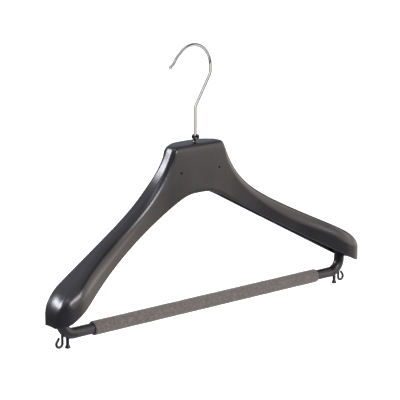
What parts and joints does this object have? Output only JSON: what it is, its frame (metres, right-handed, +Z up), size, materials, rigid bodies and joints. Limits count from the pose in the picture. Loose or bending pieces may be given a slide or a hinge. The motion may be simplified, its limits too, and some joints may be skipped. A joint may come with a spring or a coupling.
{
  "type": "trouser hanger",
  "caption": "Contoured suit and trouser hanger: swivel wire hook, wide hollow shoulders curving forward, and a foam-sleeved bar with loop hooks below.",
  "frame": {"origin": "point inside the hook's arc that rests on the rail, plumb above the hook's stem", "axes": "+Z up, +X along the shoulders, -Y towards the front, where both arms curve"},
  "size_m": [0.444, 0.0694, 0.3054],
  "materials": {
    "shell": "satin dark grey moulding",
    "hook": "polished",
    "washer": "plain",
    "collar": "glossy black",
    "rod": "satin, drawn lengthwise",
    "sleeve": "closed-cell foam",
    "elbow": "satin black moulding"
  },
  "bodies": {
    "hook": {"swivel_hook": "hook", "hook_washer": "washer"},
    "hanger": {"hanger_shell": "shell", "hook_collar": "collar", "bar_rod": "rod", "foam_sleeve": "sleeve", "left_elbow": "elbow", "right_elbow": "elbow"}
  },
  "joints": [
    {"name": "hook_swivel", "type": "hinge", "parent": "hook", "child": "hanger", "pos_m": [0, 0, -0.108], "axis": [0, 0, 1], "continuous": true}
  ]
}
